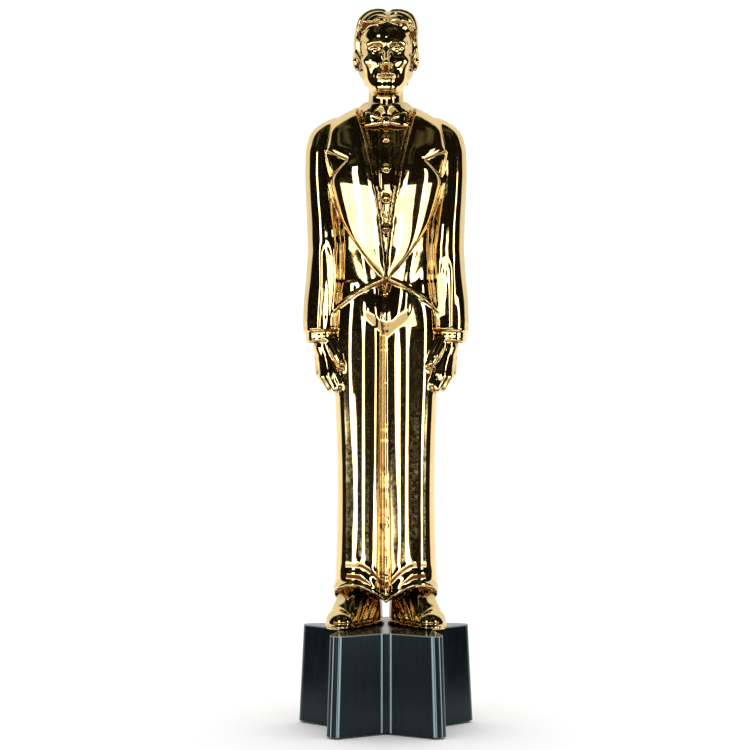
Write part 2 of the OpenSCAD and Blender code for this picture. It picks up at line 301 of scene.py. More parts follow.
def bowed(a, b, bow, steps=6):
    """Points of a curve from a to b that bows sideways in its middle."""
    a, b = np.array(a, float), np.array(b, float)
    along = (b - a) / np.hypot(*(b - a))
    t = np.linspace(0, 1, steps + 1)[:, None]
    return [tuple(q) for q in a + (b - a) * t + np.array([along[1], -along[0]]) * bow * 4 * t * (1 - t)]


def mirrored(points):
    return [(-u, v) for u, v in points][::-1]


ROLL = bowed(CLOSE, OPENING_TOP, -1.5)
LAPEL_LEFT = ([(LAPEL_W - 4, 163), (LAPEL_W - 1, COLLAR_H), (LAPEL_W + 1, GORGE_H)]
              + [(LAPEL_W * 2 / 3, NOTCH_H)]
              + bowed((LAPEL_W + 1, PEAK_H), CLOSE, -2) + ROLL[1:] + [(OPENING_TOP[0] + 0.5, 170)])
LAPEL_RIGHT = mirrored(LAPEL_LEFT)
OPENING = ROLL + [(OPENING_TOP[0], 172)]
OPENING = OPENING + mirrored(OPENING)[:-1]
HEM_HALF = bowed(CLOSE, HEM_SIDE, -1.5)
HEM = mirrored(HEM_HALF)[:-1] + HEM_HALF
HEM = [(-24, 92)] + HEM + [(24, 92)]
TROUSER_HEM = [(u, SHOE_HEM_LOW
                + SHOE_HEM_RISE * math.sin(math.pi * min(abs(u) / (2 * SHOE_HEM_X), 1)))
               for u in range(-22, 23, 2)]
TAIL_HALF = [(0.25, 88), (0.25, 32), (4.6, 32.6), (7.2, 37), (9.2, 48), (12.4, 74), (14.4, 98), (14.6, 106)]
TAILS = mirrored(TAIL_HALF) + TAIL_HALF


def front_relief():
    h = np.zeros(GX.shape)
    hem = np.interp(GX, [p[0] for p in HEM], [p[1] for p in HEM])
    coat = ramp(GZ, hem - 0.3, hem + 0.3)
    opening = outline(GX, GZ, OPENING)
    # Shirt, then a narrow edge of waistcoat, then the coat
    sunk = np.interp(GZ, [113, 148, 160], [0.5, 2.5, 1.6])
    h -= sunk * (1 - ramp(opening, -0.2, 0.15)) * coat
    h += 0.65 * (ramp(opening, -1.35, -1.1) - ramp(opening, -0.2, 0.15)) * coat
    shirt = 1 - ramp(opening, -1.6, -1.2)
    half = np.interp(GZ, [118, 161], [1.5, 2.1])
    h += 0.28 * shirt * (1 - ramp(np.abs(GX), half - 0.15, half + 0.15))
    h -= 0.12 * shirt * bump(np.abs(GX), half - 0.5, 0.14)
    for pleat in (3.1, 4.2, 5.3, 6.4):
        h -= 0.14 * shirt * bump(np.abs(GX), pleat, 0.16) * ramp(GZ, 124, 130)
    for x, z in STUDS:
        r = np.hypot(GX - x, GZ - z)
        h += np.where(r < 1.25, 1.0 * np.sqrt(np.maximum(1 - (r / 1.25) ** 2, 0)), 0)
        h -= 0.15 * bump(r, 1.5, 0.2)
    # Collar and lapels, thin at the edges and full at the roll
    for points in (LAPEL_RIGHT, LAPEL_LEFT):
        s = outline(GX, GZ, points)
        on = 1 - ramp(s, -0.12, 0.2)
        h += on * (0.85 + 0.55 * (1 - np.exp(np.minimum(s, 0) / 1.3)))
    # Rolled front hem, and shallow folds that run to the closing point
    slope = np.hypot(1, np.gradient(hem, 0.1, axis=0))
    h += 0.5 * bump((GZ - hem) / slope, 0.75, 0.5) * (np.abs(GX) < 24)
    low_coat = coat * bump(GZ, 113, 9)
    for side, lean in ((-1, 0.55), (1, 0.62)):
        for offset, depth in ((6.2, 0.25), (10.2, -0.3)):
            path = side * offset + side * lean * (GZ - 112) * 0.35
            h += depth * bump(GX, path, 2.0) * low_coat * (ramp(opening, 0, 2))
    # Trouser front: fly, crotch folds, pressed creases with a hollow on either side
    trousers = 1 - coat
    h -= 0.3 * trousers * bump(GX, -0.3, 0.22) * ramp(GZ, 100, 103)
    u = np.abs(GX - 0.3)
    v_low = 92 + 0.9 * u
    v_top = np.maximum(97 + 0.5 * u * ramp(u, 0.5, 4), v_low + 0.6)
    fall = np.clip((GZ - v_low) / (v_top - v_low), 0, 1) * (0.19 * (v_top - v_low))
    h += fall * trousers * (1 - ramp(u, 6.2, 8)) * (1 - 0.9 * ramp(GZ, v_top + 0.3, 108))
    leg = trousers * ramp(GZ, 18, 30) * (1 - ramp(GZ, 86, 102))
    for centre_x in (-7.4, 6.3):
        wander = 0.25 * np.sin(GZ / 17 + centre_x)
        h += leg * 0.07 * bump(GX, centre_x - wander, 1.2)
        h -= leg * 0.08 * bump(GX, centre_x - 2.9 - wander, 1.2)
        h -= leg * 0.08 * bump(GX, centre_x + 2.9 + wander, 1.2)
    # The thigh on the figure's left swells under the hem of the coat
    h += 0.075 * np.clip(GZ - 95.5, 0, 12) * bump(GX, 6.6, 3.4) * trousers
    # The break over the shoes
    for side in (-1, 1):
        path = line(GX, GZ, [(side * 12, 17.6), (side * 8.4, 17.4), (side * 5, 14.8), (side * 1.4, 11.2)])
        h += 0.18 * bump(path, 0, 0.8) - 0.12 * bump(path, 1.9, 0.8)
        h += 0.07 * bump(line(GX, GZ, [(side * 9, 21.6), (side * 4.4, 19), (side * 1.2, 15)]), 0, 0.6)
    hem_line = np.interp(GX, [p[0] for p in TROUSER_HEM], [p[1] for p in TROUSER_HEM])
    h += 0.5 * bump(GZ - hem_line, 0.8, 0.85)
    return h


def back_relief():
    h = np.zeros(GX.shape)
    wide = np.abs(GX)
    # Coat seams: centre, two shaped side bodies and waist seam, and two buttons over the waist seam
    above = ramp(GZ, 104.2, 105)
    h -= 0.38 * bump(GX, 0, 0.25) * above * (1 - ramp(GZ, 158, 160))
    side_seam = np.interp(GZ, [104, 116, 130, 142, 150], [3.6, 5, 8.4, 11.8, 15.2])
    h -= 0.35 * bump(wide, side_seam, 0.25) * above * (1 - ramp(GZ, 148, 151))
    h -= 0.4 * bump(GZ, 104.5, 0.28) * (1 - ramp(wide, 14, 15))
    for side in (-1, 1):
        r = np.hypot(GX - side * 3.7, GZ - 106.4)
        h += np.where(r < 1.25, 0.9 * np.sqrt(np.maximum(1 - (r / 1.25) ** 2, 0)), 0)
        h -= 0.12 * bump(r, 1.5, 0.2)
    # Shoulder blades, the hollow of the spine, and soft drag folds at the waist
    h += 0.8 * bump(wide, 8.6, 4.2) * bump(GZ, 146, 9)
    h -= 0.7 * bump(GX, 0, 3) * bump(GZ, 136, 20)
    for z0, lean in ((113.5, 0.35), (118.5, 0.5), (124.5, 0.6)):
        path = z0 + lean * (wide - 6)
        h += 0.28 * bump(GZ, path, 1.2) * bump(wide, 9, 4)
        h -= 0.2 * bump(GZ, path - 2.2, 1.1) * bump(wide, 9, 4)
    # Turned collar round the back of the neck
    collar = GZ - (159.4 + 0.012 * GX ** 2)
    h += 0.95 * ramp(collar, -0.2, 0.25) + 0.25 * bump(collar, 1.1, 0.8)
    # Trousers under the tails: creases and a few folds behind the knees
    leg = ramp(GZ, 12, 22) * (1 - ramp(GZ, 84, 96))
    for centre_x in (-7.4, 7.4):
        h += leg * 0.5 * np.exp(-np.abs(GX - centre_x) / 0.8)
        h -= leg * 0.35 * bump(np.abs(GX - centre_x), 3.3, 1.1)
    for z0 in (41, 45.5, 50):
        path = z0 + 0.25 * (wide - 7)
        h -= 0.3 * bump(GZ, path, 0.9) * bump(wide, 7.4, 5)
        h += 0.2 * bump(GZ, path + 1.9, 1) * bump(wide, 7.4, 5)
    for z0, tilt in ((14, 0.2), (18, -0.2)):
        h += 0.4 * bump(GZ, z0 + tilt * (wide - 7.4), 1) * bump(wide, 7.4, 5)
    h -= 0.2 * bump(GZ, 8.2, 0.3)
    return h


FRONT = front_relief()
BACK = back_relief()


def sample(table, x, z):
    u = np.clip((x - RX[0]) / 0.1, 0, len(RX) - 1.001)
    v = np.clip((z - RZ[0]) / 0.1, 0, len(RZ) - 1.001)
    i, j = u.astype(int), v.astype(int)
    u, v = u - i, v - j
    return ((table[i, j] * (1 - u) + table[i + 1, j] * u) * (1 - v)
            + (table[i, j + 1] * (1 - u) + table[i + 1, j + 1] * u) * v)


def relief(x, y, z):
    back = ramp(y, -1.5, 2.5)
    return sample(FRONT, x, z) * (1 - back) + sample(BACK, x, z) * back


# ---------------------------------------------------------------- the figure's masses

# Each row: height, centre x, centre y, half width, front depth, back depth
TORSO = profile([
    [80, 0, 0.3, 15.5, 7.6, 8.4], [90, 0, 0.3, 16.5, 8, 9], [100, 0, 0.3, 16.5, 8.3, 9.2],
    [110, 0, 0.2, 15, 8.5, 8.3], [120, 0, 0.2, 15, 9, 7.7], [130, 0, 0.1, 15.5, 9.8, 8.2],
    [140, 0, 0, 17.5, 10.9, 9.2], [146, 0, 0, 19, 11, 9.6], [152, 0, 0.1, 20.5, 10, 9.6],
    [158, 0, 0.4, 20.5, 8.3, 8.6], [161, 0, 0.5, 18, 7.2, 7.7], [163, 0, 0.6, 14, 6.5, 6.9],
    [165, 0, 0.6, 9, 6.1, 6.4], [167, 0, 0.6, 6.5, 5.8, 6], [170, 0, 0.6, 5, 5, 5]], 0.9)
LEG = profile([
    [0, 8.1, 0.5, 8.2, 9.9, 7.4], [8, 8.0, 0.5, 8.1, 9.6, 7.2], [18, 7.7, 0.5, 7.8, 9.1, 6.9],
    [30, 7.5, 0.5, 7.55, 8.6, 6.9], [45, 7.4, 0.5, 7.5, 8.15, 6.9], [60, 7.45, 0.5, 7.65, 7.92, 7.2],
    [80, 7.8, 0.5, 8.2, 7.82, 8.2], [100, 7.9, 0.5, 8.6, 8.0, 8.8], [112, 7.2, 0.5, 7, 7.9, 8]], 4.5)
ARM = profile([
    [91, 20.8, 0.6, 5.4, 5.7, 5.4], [98, 21, 0.6, 5.5, 5.8, 5.4], [104, 20.5, 0.6, 5.8, 6, 5.5],
    [112, 19.5, 0.7, 6, 6.5, 5.7], [120, 19, 0.8, 6, 7, 6], [128, 19.5, 0.9, 5.7, 7, 6.2],
    [136, 20.3, 1.1, 5.3, 6.6, 6.2], [144, 20.8, 1, 5.1, 6.2, 6.3], [152, 20.7, 0.8, 5, 5.8, 6.3],
    [156, 19.7, 0.7, 5, 5.4, 6.1], [158, 18.7, 0.6, 5, 5.1, 5.8], [160, 17.3, 0.6, 4.4, 4.5, 5],
    [162, 15, 0.6, 2.5, 3, 3.4]], 0.8)
SHOE_TURN = math.radians(37)


def leg(x, y, z, side, shift):
    """One trouser leg; shift turns its front towards the middle without moving its outer side."""
    cx, cy, ax, front, back = LEG(z)
    u = side * x - cx + shift
    dy = y - cy
    return oval(u, dy, np.where(u < 0, ax, ax + shift + 0.6), np.where(dy < 0, front, back), 2.3)


def sleeve_folds(x, y, z, side, elbow):
    """One break at the elbow, a few short folds inside it and long soft ones down the forearm."""
    inward = -side * (x - side * 19.5)
    h = np.zeros(x.shape)
    front = ramp(-y, -2, 2)
    for z0, tilt, depth, width in ((elbow, 0.12, 0.07, 1.5), (elbow + 4.2, 0.5, 0.05, 1.9),
                                   (elbow - 4.2, -0.45, 0.07, 1.8)):
        path = z0 + tilt * (inward - 3) + 0.25 * np.sin(y * 0.7 + z0)
        reach = ramp(inward, -4.5, 2) * (1 - 0.45 * ramp(y, -1, 5))
        h -= depth * bump(z, path, width) * reach
    down = (1 - ramp(z, elbow - 6, elbow - 1)) * ramp(z, 91, 94)
    drift = 0.35 * np.sin(z * 0.2 + side)
    h += 0.26 * bump(inward, -1.5 + drift, 1.1) * down * front
    h -= 0.30 * bump(inward, 0.9 + drift, 0.9) * down * front
    h += 0.26 * bump(inward, 3.2 + drift, 1.0) * down * front
    return h


def hand(f, side):
    """A relaxed hand: its back turned forward and outward, thumb in front, fingers curled."""
    def at(x, y, z):
        return (side * x, y, z)

    f.add_egg(at(19.6, 0.1, 90), (3.4, 3.6, 4.4), 1.0)
    f.add_rod(at(19.2, -0.2, 88.6), at(17.4, -2.4, 81.2), 3.6, 2.6, 1.2)
    fingers = (((16.9, -2.3, 85.4), (16.1, -3.7, 80.8), (14.6, -4.8, 77.2), 1.5),
               ((18.8, -2.1, 85.0), (18.0, -3.5, 79.8), (16.0, -4.6, 75.7), 1.5),
               ((20.4, -1.2, 85.2), (19.8, -2.4, 79.8), (18.0, -3.4, 76.0), 1.4),
               ((21.6, 0.4, 85.6), (21.2, -0.6, 80.9), (19.9, -1.6, 78.0), 1.2))
    for root, mid, tip, thick in fingers:
        f.add_rod(at(*root), at(*mid), thick + 0.1, thick, 0.9)
        f.add_rod(at(*mid), at(*tip), thick, thick - 0.35, 0.7)
    f.add_rod(at(17.6, -2.4, 90.8), at(15.4, -4.8, 86.4), 1.9, 1.75, 0.6)
    f.add_rod(at(15.4, -4.8, 86.4), at(13.9, -6.0, 83.0), 1.7, 1.1, 0.35)
    f.add_egg(at(14.0, -7.0, 83.8), (0.7, 0.4, 0.95), 0.12)


def shoe(f, side):
    """A plain laced evening shoe with a welted sole, toe cap and heel."""
    i, x, y, z = f.pick((-21 if side < 0 else 0, -15, 0), (0 if side < 0 else 21, 13, 15))
    x = x * side
    c, s = math.cos(SHOE_TURN), math.sin(SHOE_TURN)
    # Along the shoe: p runs from the heel to the toe, q from the inside to the outside
    p = (x - 4.7) * s - (y - 7.4) * c
    q = (x - 4.7) * c + (y - 7.4) * s
    half = np.interp(p, [-4, -3, 0, 5, 9, 13, 16, 18.4, 19.9, 20.5],
                     [0, 2.8, 4.1, 4.3, 4.7, 5.3, 5.0, 3.9, 2.3, 0])
    lean = 0.45 * bump(p, 12, 6)
    plan = np.maximum((np.abs(q - lean) - half) * 0.86, np.maximum(-4.1 - p, p - 20.5))
    sole = smax(smax(plan - 0.3, z - 1.2, 0.35), -z, 0.15)
    # Quarters and vamp: tall and full, from the sole to under the trouser hem
    high = np.interp(p, [-4, 0, 6, 9, 12, 14.4, 17], [15, 17, 17, 15.6, 12.6, 8.8, 5.2])
    u = np.abs(q - lean) / np.maximum(half - 0.3, 0.3)
    w = np.maximum(z - 1, 0) / high
    upper = (np.sqrt(u ** 2.5 + w ** 1.9 + 1e-9) - 1) * 3.3
    upper = smax(smax(upper, np.maximum(-3.6 - p, p - 17), 1.6), 0.8 - z, 0.2)
    upper += 0.16 * np.sin(1.8 * (p + 0.7 * z)) * ramp(-q, 0.6, 2.4) * ramp(p, 0, 3) * (1 - ramp(p, 12, 14))
    # Round toe cap
    toe = egg(p, q - lean, z, (15.3, 0, 1.4), (4.8, 5.0, 5.0), 2.2)
    toe = smax(toe, 0.8 - z, 0.2)
    upper = smin(upper, toe, 0.5)
    # Facings with a row of laces on the inner side of the vamp
    facing = np.abs(q + 0.6) - 1.5
    on = ramp(p, 5, 7) * (1 - ramp(p, 11.4, 12.4)) * ramp(z, 5, 7)
    upper -= 0.28 * bump(facing, 0, 0.45) * on
    for k in range(3):
        upper -= 0.3 * bump(p, 7.3 + 1.9 * k, 0.42) * (1 - ramp(facing, -0.4, 0.1)) * on
    upper += 0.2 * bump(z, 1.75, 0.25) * (upper > -1)
    heel_gap = smax(smax(p - 5.2, 4.4 - p, 0.2), z - 0.7, 0.2)
    sole = smax(sole, -heel_gap, 0.2)
    f.add(i, smin(sole, upper, 0.2), 0.3)


def body_field(x, y, z):
    f = Field(x, y, z)
    for side in (-1, 1):
        shoe(f, side)
    # Trousers
    i, x, y, z = f.pick((-17, -9, 4), (17, 10, 112))
    legs = smin(leg(x, y, z, -1, 0), leg(x, y, z, 1, 1.3), 0.5)
    web = oval(x + 0.1, y - 0.8, 1.35, 0.80 * LEG(z)[3])
    specks = 0.06 * np.sin(2.7 * z + 4.2 * np.sin(0.61 * z) + 3.1 * np.sin(1.37 * z + 1))
    specks *= bump(x, 0, 0.8) * np.maximum(np.sin(0.43 * z) + np.sin(1.13 * z + 2), 0)
    legs = smin(legs, web + specks, 0.6) - relief(x, y, z)
    front_hem = np.interp(x, [p[0] for p in TROUSER_HEM], [p[1] for p in TROUSER_HEM])
    hem = front_hem + (7.8 - front_hem) * ramp(y, -4, 6)
    legs = smax(legs, (hem - z) * 0.9, 0.5)
    f.add(i, smax(legs, z - 110, 0.5), 0.3)
    # Tails of the coat
    i, x, y, z = f.pick((-15, 3, 30), (15, 11, 108))
    back = np.interp(z, [32, 50, 70, 90, 104], [9.0, 8.8, 9.2, 10.1, 9.6])
    ripple = 0.35 * np.sin(np.abs(x) * 0.95 + 0.6) * (1 - ramp(z, 84, 104))
    tails = oval(x, y - 0.2, np.interp(z, [32, 104], [17.5, 16]), back + ripple, 2.4)
    tails = smax(tails, outline(x, z, TAILS), 0.5)
    tails += 0.22 * bump(outline(x, z, TAILS), -1.0, 0.25)
    f.add(i, smax(tails, 3.5 - y, 0.5), 0.2)
    # Coat body
    i, x, y, z = f.pick((-22, -12, 94), (22, 11, 168))
    torso = loft(x, y, z, TORSO, 2.5) - relief(x, y, z)
    front = np.interp(x, [p[0] for p in HEM], [p[1] for p in HEM])
    hem = front + (103.5 - front) * ramp(y, 1, 6)
    torso = smax(torso, (hem - z) * 0.75, 0.7)
    f.add(i, smax(torso, z - 167.5, 0.5), 0.25)
    # Sleeves, cuffs and hands
    for side, elbow in ((-1, 124), (1, 119)):
        low, high = ((-28, -8, 89), (-12, 8, 163)) if side < 0 else ((12, -8, 89), (28, 8, 163))
        i, x, y, z = f.pick(low, high)
        slant = z + 0.06 * side * (x - side * 21.5) + 0.05 * y
        cuff = loft(side * x, y, z, ARM, 2.1) + 0.55
        cuff = smax(smax(cuff, 90.8 - slant, 0.4), z - 98, 0.5)
        cuff += 0.12 * bump(slant, 91.8, 0.18)
        f.add(i, cuff, 0.25)
        f.cut(i, smax(loft(side * x, y, z, ARM, 2.1) + 1.5, slant - 91.6, 0.2), 0.2)
        hand(f, side)
        sleeve = loft(side * x, y, z, ARM, 2.1) - sleeve_folds(x, y, z, side, elbow)
        sleeve -= 0.13 * bump(slant, 94.6, 0.3)
        sleeve = smax(smax(sleeve, 94.2 - slant, 0.45), z - 162.2, 1.5)
        f.add(i, sleeve, 0.9)
        for b in range(3):
            f.add_egg((side * (24.6 + 0.15 * b), 3.4, 96.4 + 2.1 * b), (0.8, 0.8, 0.8), 0.12)
    # A fine parting line all round
    f.d += 0.1 * bump(f.y, 0, 0.22) * (np.abs(f.d) < 2)
    return f.d


# ---------------------------------------------------------------- head, collar and tie

HAIRLINE = np.array([(0, 14), (2, 7.4), (6, 4.9), (9.6, 3.9), (10.4, -1.2), (13, -2), (17, -3.8), (20, -6.2),
                     (22.2, -9), (24, -14)])


def head_field(x, y, z):
    f = Field(x, y, z)
    c = CHIN
    f.add_rod((0, 1.7, c - 9), (0, 0.9, c + 5), 5.75, 5.5, 0.5)
    f.add_egg((0, 1.4, c + 17.2), (9.0, 10.2, 9.8), 2)
    f.add_egg((0, -2.9, c + 10.8), (7.5, 6.1, 10.6), 2, 2.3)
    f.add_egg((0, -3.4, c + 19), (7.4, 5.8, 5.4), 2)
    for side in (-1, 1):
        f.add_rod(mirror((6.7, 0.6, c + 7.4), side), mirror((2.1, -6.7, c + 2.1), side), 1.9, 1.6, 2.4)
        f.add_egg(mirror((4.9, -6.1, c + 10.4), side), (2.6, 2.0, 1.9), 2)
        f.add_rod(mirror((5.4, -7.0, c + 15.7), side), mirror((1.3, -8.5, c + 15.6), side), 1.0, 0.95, 1.3)
    f.add_egg((0, -7.7, c + 2.1), (2.4, 1.6, 1.75), 1.4)
    f.add_egg((0, -7.9, c + 5.6), (3.5, 1.8, 2.3), 1.4)
    for side in (-1, 1):
        f.cut_egg(mirror((3.6, -9.5, c + 13.6), side), (2.35, 1.9, 1.55), 1.1)
    # Eyes with lids, set level and open
    for side in (-1, 1):
        ex = 3.5
        i, x, y, z = f.pick((-6 if side < 0 else 0, -10, c + 11), (0 if side < 0 else 6, -5, c + 16))
        u = side * x - ex
        ball = np.sqrt(u * u + (y + 6.75) ** 2 + (z - c - 13.45) ** 2)
        f.add(i, ball - 1.6 + 0.07 * bump(np.hypot(u, z - c - 13.5), 0.72, 0.12), 0.12)
        gap = 0.68 * (1 - (u / 1.8) ** 2)
        lid = np.abs(z - c - 13.4 - 0.04 * u) - gap
        f.add(i, smax(ball - 1.86, -lid, 0.12), 0.3)
        outer, inner = (5.3, -7.75, c + 16.1), (1.7, -9.25, c + 16.1)
        f.add_rod(mirror(outer, side), mirror(inner, side), 0.32, 0.45, 0.5)
    # Nose
    f.add_rod((0, -8.5, c + 14), (0, -10.7, c + 9.6), 0.72, 1.0, 1.0)
    f.add_egg((0, -10.9, c + 9.1), (1.15, 1.1, 1.0), 0.5)
    for side in (-1, 1):
        f.add_egg(mirror((1.35, -9.6, c + 8.7), side), (0.8, 1.15, 0.8), 0.4)
        f.cut_egg(mirror((0.7, -10.4, c + 7.9), side), (0.36, 0.6, 0.35), 0.2)
    # Mouth, closed and at rest
    for side in (-1, 1):
        f.add_rod(mirror((2.5, -8.9, c + 5.62), side), mirror((0.5, -9.75, c + 6.02), side), 0.3, 0.46, 0.35)
        f.add_rod(mirror((2.1, -8.95, c + 5.1), side), mirror((0, -9.65, c + 4.78), side), 0.35, 0.6, 0.35)
    i, x, y, z = f.pick((-3, -11, c + 4), (3, -7, c + 7))
    seam = z - (c + 5.4 + 0.025 * x * x - 0.12 * bump(x, 0, 0.7))
    f.d[i] += 0.3 * bump(seam, 0, 0.2) * (1 - ramp(np.abs(x), 2.3, 2.9)) * ramp(-y, 7, 8)
    f.d[i] += 0.12 * bump(x, 0, 0.35) * bump(z, c + 7.2, 0.6) * ramp(-y, 7, 8)
    # Ears
    for side in (-1, 1):
        i, x, y, z = f.pick((-13 if side < 0 else 7, -4, c + 7), (-7 if side < 0 else 13, 6, c + 17))
        u = side * x - 9.7 - 0.12 * (y - 1)
        v = (y - 1.5) - 0.22 * (z - c - 12)
        w = z - c - 12
        shell = egg(u, v, w, (0, 0, 0), (1.0, 2.05, 3.4))
        lobe = egg(u, v, w, (-0.3, -0.7, -2.9), (0.75, 0.95, 1.1))
        shell = smin(shell, lobe, 0.5)
        bowl = egg(u, v, w, (1.2, -0.2, 0.1), (0.75, 1.1, 2.1))
        f.add(i, smax(shell, -bowl, 0.3), 0.35)
        f.add_egg(mirror((10.1, -0.3, c + 11.3), side), (0.55, 0.45, 0.8), 0.25)
    # Hair, parted at the middle and swept over to both sides and back
    i, x, y, z = f.pick((-12, -13, c), (12, 14, c + 29))
    edge = np.interp(z - c, HAIRLINE[:, 0], HAIRLINE[:, 1]) + 0.35 * np.sin(x * 1.1 + z * 0.7)
    amount = ramp(y - edge, -0.2, 1.3)
    part_x = 0.8 + 0.03 * y
    u = np.abs(x - part_x)
    shape = egg(x, y, z, (0, 1.3, c + 16.8), (10.35, 11.3, 10.6), 2.25)
    nape = egg(x, y, z, (0, 3.6, c + 9.5), (8.6, 7.4, 8.5), 2.2)
    shape = smin(shape, nape, 2.5)
    for side in (-1, 1):
        lobe = egg(x, y, z, (part_x + side * 3.9, -3.3, c + 21.7), (5.4, 5.9, 5.0))
        shape = smin(shape, lobe, 2.2)
    around = np.arctan2(u, z - c - 10)
    ring = np.hypot(x, z - c - 12)
    sweep = y * 0.8 + 0.55 * ring + 2.2 * around
    calm = 1 - 0.65 * ramp(np.abs(x), 8.2, 10)
    strands = 0.30 * np.sin(2.2 * sweep + 0.6 * np.sin(around * 3)) + 0.16 * np.sin(4.9 * sweep + 1.1)
    strands += 0.07 * np.sin(9.1 * sweep + 2 * around) * calm
    front = 1 - ramp(y, -7, -3)
    parting = (0.35 + 0.75 * front) * np.exp(-u / 0.7) * ramp(z, c + 19, c + 22) * (1 - ramp(y, 3, 9))
    hair = shape + 1.5 * (1 - amount) + (strands * calm * ramp(u, 0.2, 1.2) + parting) * amount
    hair = smax(hair, c + 1.5 - z, 0.8)
    f.add(i, hair, 0.22)
    # Wing collar and bow tie
    i, x, y, z = f.pick((-8, -8, c - 9), (8, 8, c - 1))
    band = oval(x, y - 1.2, 6.35, 6.5)
    top = c - 2.6 - 0.9 * ramp(-y, 2, 5) * (1 - ramp(np.abs(x), 0.4, 2))
    band = smax(smax(band, z - top, 0.35), c - 9.5 - z, 0.3)
    band = smax(band, -(oval(x, y - 1.2, 5.9, 6.05)), 0.2)
    f.add(i, band, 0.1)
    for side in (-1, 1):
        u = side * x
        wing = outline(u, z, [(0.3, c - 7), (0.7, c - 4.2), (1.6, c - 3.2), (4.8, c - 6.2), (3.4, c - 7.6)])
        plate = np.abs(y + 5.55 + 0.12 * u + 0.32 * (z - c + 4) - 0.06 * u * u) - 0.28
        f.add(i, smax(wing, plate, 0.25), 0.15)
    for side in (-1, 1):
        i, x, y, z = f.pick((-8, -9, c - 12), (8, -3, c - 5))
        u = side * x
        rise = 0.14 * u
        half = np.interp(u, [0, 1.2, 3.2, 5.4, 6.6, 6.9], [0.85, 1.1, 1.9, 2.35, 2.2, 1.9])
        lobe = smax(np.abs(z - (c - 8.9) - rise) - half, u - 6.7, 0.6)
        depth = np.abs(y + 7.4 - 0.035 * u * u) - 1.15 + 0.3 * bump(u, 2.2, 1.2)
        lobe = smax(lobe, depth, 0.9)
        fold = z - (c - 8.9) - rise
        lobe += 0.3 * bump(fold, 0.45 * u * 0.35, 0.28) * (1 - ramp(u, 2.5, 5.2)) * ramp(u, 0, 1)
        lobe += 0.25 * bump(fold, -0.45 * u * 0.45, 0.25) * (1 - ramp(u, 2.2, 4.6)) * ramp(u, 0, 1)
        f.add(i, lobe, 0.15)
    f.add_egg((0, -8.3, c - 8.9), (1.35, 1.1, 1.55), 0.15, 2.6)
    f.d += 0.06 * bump(f.y, 0, 0.18) * (np.abs(f.d) < 2)
    return f.d


# ---------------------------------------------------------------- building the two halves

def spaced(start, stop, step):
    return np.arange(int(round((stop - start) / step)) + 1) * step + start


def centred(reach, step):
    n = int(math.ceil(reach / step))
    return (np.arange(-n, n) + 0.5) * step


# Grid steps in millimetres; up the plain trouser legs the grid can be wider
BODY_STEP, TROUSER_STEP, COAT_STEP, HEAD_STEP = 0.43, 0.88, 0.455, 0.28


def grids():
    fine, finest = BODY_STEP * coarse, HEAD_STEP * coarse
    body = (spaced(-28.4, 28.4, fine), centred(14.5, fine),
            np.concatenate([spaced(-0.6, 22, fine)[:-1], spaced(22, 84, TROUSER_STEP * coarse)[:-1],
                            spaced(84, 169, COAT_STEP * coarse)]))
    head = (spaced(-12.4, 12.4, finest), centred(13.8, finest), spaced(CHIN - 13, TOP + 0.8, finest))
    return (body_field, body), (head_field, head)


def half_object(name, meshes, side):
    points, faces, start = [], [], 0
    for verts, quads in meshes:
        y = verts[quads][:, :, 1]
        keep = (y.max(axis=1) <= 1e-7) if side < 0 else (y.min(axis=1) >= -1e-7) & (y.max(axis=1) > 1e-7)
        used = np.unique(quads[keep])
        renumber = np.full(len(verts), -1)
        renumber[used] = np.arange(len(used))
        points.append(verts[used])
        faces.append(renumber[quads[keep]] + start)
        start += len(used)
    points = (np.concatenate(points) + [0, 0, DECK]) * MM
    faces = np.concatenate(faces)
    mesh = bpy.data.meshes.new(name)
    mesh.vertices.add(len(points))
    mesh.vertices.foreach_set("co", points.astype(np.float32).ravel())
    mesh.loops.add(len(faces) * 4)
    mesh.loops.foreach_set("vertex_index", faces.astype(np.int32).ravel())
    mesh.polygons.add(len(faces))
    mesh.polygons.foreach_set("loop_start", np.arange(0, len(faces) * 4, 4, dtype=np.int32))
    mesh.polygons.foreach_set("loop_total", np.full(len(faces), 4, dtype=np.int32))
    mesh.update(calc_edges=True)
    mesh.validate()
    mesh.polygons.foreach_set("use_smooth", np.ones(len(mesh.polygons), bool))
    obj = bpy.data.objects.new(name, mesh)
    bpy.context.collection.objects.link(obj)
    return obj


# ---------------------------------------------------------------- materials

def material(name, colour, metallic=0.0, roughness=0.4):
    m = bpy.data.materials.new(name)
    m.use_nodes = True
    shader = m.node_tree.nodes["Principled BSDF"]
    shader.inputs["Base Color"].default_value = (*colour, 1)
    shader.inputs["Metallic"].default_value = metallic
    shader.inputs["Roughness"].default_value = roughness
    return m, m.node_tree.nodes, m.node_tree.links, shader


def noise(nodes, links, scale, detail=4, stretch=None):
    coords = nodes.new("ShaderNodeTexCoord")
    tex = nodes.new("ShaderNodeTexNoise")
    tex.inputs["Scale"].default_value = scale
    tex.inputs["Detail"].default_value = detail
    if stretch:
        mapping = nodes.new("ShaderNodeMapping")
        mapping.inputs["Scale"].default_value = stretch
        links.new(coords.outputs["Object"], mapping.inputs["Vector"])
        links.new(mapping.outputs["Vector"], tex.inputs["Vector"])
    else:
        links.new(coords.outputs["Object"], tex.inputs["Vector"])
    return tex


def spread(nodes, links, source, low, high, at_low=0.3, at_high=0.7):
    m = nodes.new("ShaderNodeMapRange")
    m.inputs["From Min"].default_value = at_low
    m.inputs["From Max"].default_value = at_high
    m.inputs["To Min"].default_value = low
    m.inputs["To Max"].default_value = high
    links.new(source, m.inputs["Value"])
    return m.outputs["Result"]


